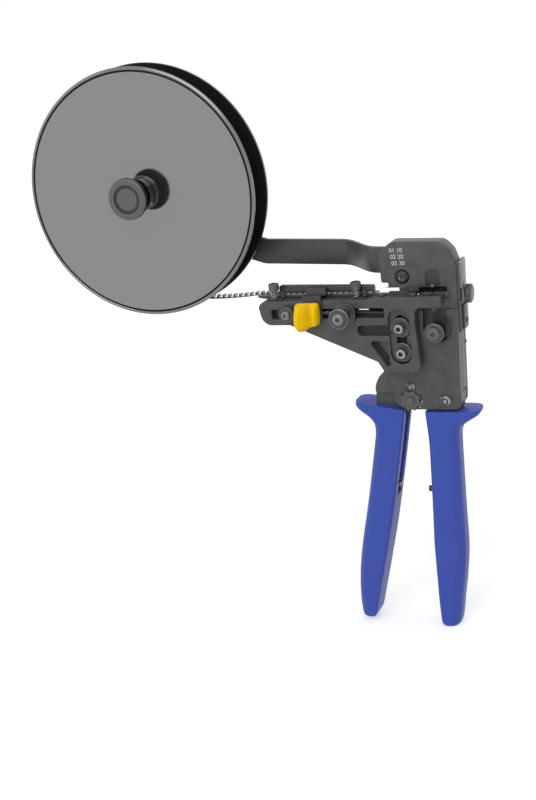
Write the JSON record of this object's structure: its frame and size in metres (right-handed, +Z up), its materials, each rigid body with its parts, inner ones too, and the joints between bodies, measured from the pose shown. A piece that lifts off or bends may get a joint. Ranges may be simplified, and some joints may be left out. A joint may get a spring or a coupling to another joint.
{
  "type": "hand crimp tool with strip feeder",
  "caption": "Hand crimp tool with a toggle-driven ram, blue grips, a side strip feeder with a yellow thumb pad, and a terminal reel on a bent arm.",
  "frame": {"origin": "middle of the fixed grip, on the tool's mid plane, where a hand holds it", "axes": "+X to the right past the side stop, +Y from the front face to the back, +Z up along the body to the head"},
  "size_m": [0.2867, 0.0539, 0.375],
  "materials": {
    "black_steel": "matt burnished black",
    "black_bracket": "matt black",
    "black_arm": "satin black",
    "die_steel": "dark hardened steel",
    "dark_screws": "satin black oxide",
    "bright_screws": "turned bright steel",
    "bright_steel": "ground steel",
    "spring_steel": "spring wire",
    "blue_grip": "satin moulded",
    "yellow_pad": "gloss moulded",
    "reel_grey": "semi-gloss moulded",
    "reel_black": "gloss black",
    "knob_black": "satin black",
    "tinned_strip": "tin plated"
  },
  "bodies": {
    "frame": {"head_block": "black_steel", "front_plate": "black_steel", "rear_plate": "black_steel", "guide_block": "black_steel", "upper_die": "die_steel", "die_keeper": "black_steel", "keeper_screw": "bright_screws", "main_pivot": "bright_screws", "adjust_wheel": "black_steel", "lock_screw": "bright_screws", "handle_tang": "black_steel", "fixed_grip": "blue_grip", "tang_screws": "bright_screws", "frame_rivets": "black_steel", "stop_stud": "bright_steel", "frame_pins": "bright_steel", "reel_arm": "black_arm", "arm_screws": "bright_screws", "spindle": "black_arm", "slide_screws": "bright_screws", "slide_washers": "dark_screws", "side_guide": "black_steel", "guide_foot": "bright_steel", "foot_screw": "bright_screws"},
    "ram": {"ram": "black_steel", "lower_die": "die_steel", "ram_pin": "bright_steel", "ram_roller": "dark_screws"},
    "link": {"toggle_link": "bright_steel"},
    "lever": {"lever_front": "black_steel", "lever_rear": "black_steel", "ratchet_sector": "bright_steel", "knee_pin": "bright_steel", "moving_grip": "blue_grip", "handle_stop": "bright_steel", "return_spring": "spring_steel"},
    "pawl": {"pawl": "bright_steel"},
    "feeder": {"feeder_bracket": "black_bracket", "strip_track": "black_bracket", "track_screws": "dark_screws", "hold_screws": "dark_screws", "check_leaf": "bright_steel", "height_screw": "dark_screws", "terminal_strip": "tinned_strip", "hold_springs": "spring_steel", "stop_knob": "dark_screws", "feed_spring": "spring_steel"},
    "carriage": {"feed_carriage": "black_bracket", "thumb_pad": "yellow_pad", "guide_knob": "dark_screws"},
    "finger": {"feed_finger": "bright_steel"},
    "hold_down": {"hold_down": "black_bracket"},
    "reel": {"reel_front": "reel_grey", "reel_rear": "reel_black", "wound_strip": "tinned_strip"},
    "reel_knob": {"reel_knob": "knob_black"},
    "locator": {"locator": "bright_steel"},
    "thumb_screw": {"thumb_screw": "dark_screws"}
  },
  "joints": [
    {"name": "lever_hinge", "type": "hinge", "parent": "frame", "child": "lever", "pos_m": [-0.0177, 0, 0.082], "axis": [0, -1, 0], "range_deg": [0, 15.76], "stiffness_Nm_per_rad": 0.5, "springref_deg": -20.05, "deforming": ["return_spring"]},
    {"name": "ram_slide", "type": "slide", "parent": "frame", "child": "ram", "axis": [0, 0, 1], "range_m": [0, 0.003]},
    {"name": "link_hinge", "type": "hinge", "parent": "ram", "child": "link", "pos_m": [0.003, 0, 0.127], "axis": [0, -1, 0], "range_deg": [-18.23, 0]},
    {"name": "pawl_hinge", "type": "hinge", "parent": "frame", "child": "pawl", "pos_m": [0.0081, 0, 0.0917], "axis": [0, 1, 0], "range_deg": [0, 15], "stiffness_Nm_per_rad": 0.02, "springref_deg": -17.19},
    {"name": "feeder_slide", "type": "slide", "parent": "frame", "child": "feeder", "axis": [0, 0, 1], "range_m": [-0.004, 0]},
    {"name": "carriage_slide", "type": "slide", "parent": "feeder", "child": "carriage", "axis": [1, 0, 0], "range_m": [0, 0.005], "stiffness_N_per_m": 200, "springref_m": -0.01},
    {"name": "finger_hinge", "type": "hinge", "parent": "carriage", "child": "finger", "pos_m": [-0.0703, 0, 0.1547], "axis": [0, -1, 0], "range_deg": [0, 20], "stiffness_Nm_per_rad": 0.002, "springref_deg": -17.19},
    {"name": "hold_down_slide", "type": "slide", "parent": "feeder", "child": "hold_down", "axis": [0, 0, 1], "range_m": [0, 0.0015], "stiffness_N_per_m": 500, "springref_m": -0.003, "deforming": ["hold_springs"]},
    {"name": "reel_spin", "type": "hinge", "parent": "frame", "child": "reel", "pos_m": [-0.1823, 0, 0.2212], "axis": [0, 1, 0], "continuous": true},
    {"name": "reel_knob_spin", "type": "hinge", "parent": "frame", "child": "reel_knob", "pos_m": [-0.1823, 0, 0.2212], "axis": [0, 1, 0], "continuous": true},
    {"name": "locator_slide", "type": "slide", "parent": "frame", "child": "locator", "axis": [0.0419, 0, 0.9991], "range_m": [-0.002, 0.002]},
    {"name": "thumb_screw_spin", "type": "hinge", "parent": "frame", "child": "thumb_screw", "pos_m": [0.01726, 0, 0.148], "axis": [0.9991, 0, -0.0419], "continuous": true}
  ],
  "couplings": [
    {"joint": "ram_slide", "follows": "lever_hinge", "m_per_rad": 0.010907},
    {"joint": "link_hinge", "follows": "lever_hinge", "ratio": -1.1556}
  ]
}
